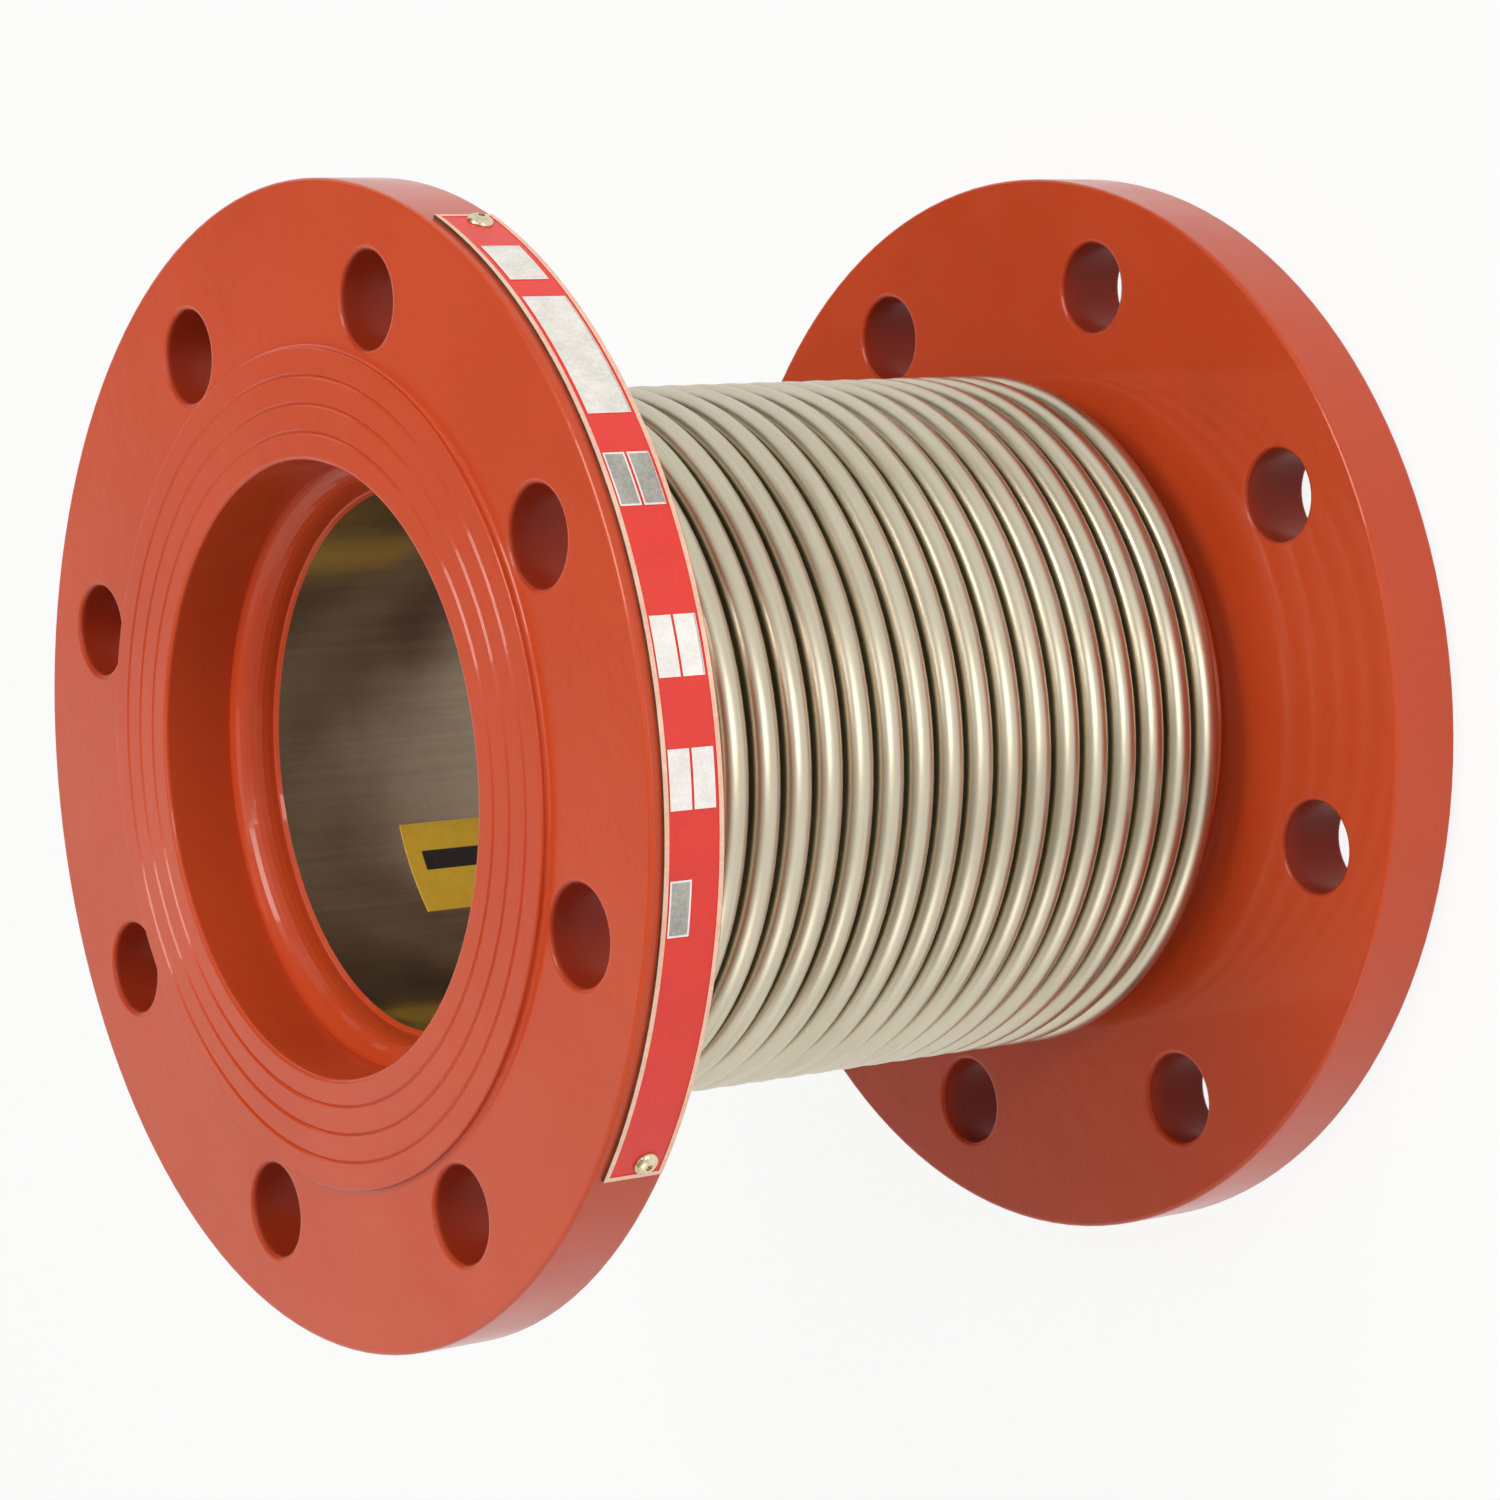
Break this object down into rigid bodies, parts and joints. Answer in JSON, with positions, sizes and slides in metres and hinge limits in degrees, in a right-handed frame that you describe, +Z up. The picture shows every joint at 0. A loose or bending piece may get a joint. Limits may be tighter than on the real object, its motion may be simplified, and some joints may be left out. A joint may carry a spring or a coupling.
{
  "type": "axial expansion joint",
  "caption": "Axial expansion joint for pipework: drilled plate flanges joined by a round metal bellows over a smooth guide sleeve, so that the pipe can lengthen and shorten.",
  "frame": {"origin": "on the bore axis, in the plane of the lower flange's raised face", "axes": "+Z runs up the bore axis towards the upper flange, which carries the nameplate; the bolt holes straddle X and Y"},
  "size_m": [0.2206, 0.22, 0.19],
  "materials": {
    "flange_paint": "gloss",
    "weld_paint": "gloss",
    "bellows_steel": "satin",
    "sleeve_steel": "satin",
    "plate_enamel": "gloss",
    "rivet_metal": "polished",
    "label_film": "matte"
  },
  "bodies": {
    "lower_end": {"lower_flange": "flange_paint", "lower_end_ring": "flange_paint", "lower_neck_weld": "weld_paint", "lower_cuff_weld": "bellows_steel", "bellows": "bellows_steel"},
    "upper_end": {"upper_flange": "flange_paint", "upper_end_ring": "flange_paint", "upper_neck_weld": "weld_paint", "upper_cuff_weld": "bellows_steel", "guide_sleeve": "sleeve_steel", "sleeve_weld": "weld_paint", "sleeve_label": "label_film", "nameplate": "plate_enamel", "upper_rivet": "rivet_metal", "lower_rivet": "rivet_metal"}
  },
  "joints": [
    {"name": "axial_travel", "type": "slide", "parent": "lower_end", "child": "upper_end", "axis": [0, 0, 1], "range_m": [-0.04, 0.02], "stiffness_N_per_m": 100000, "springref_m": 0.00035, "deforming": ["bellows"]}
  ]
}
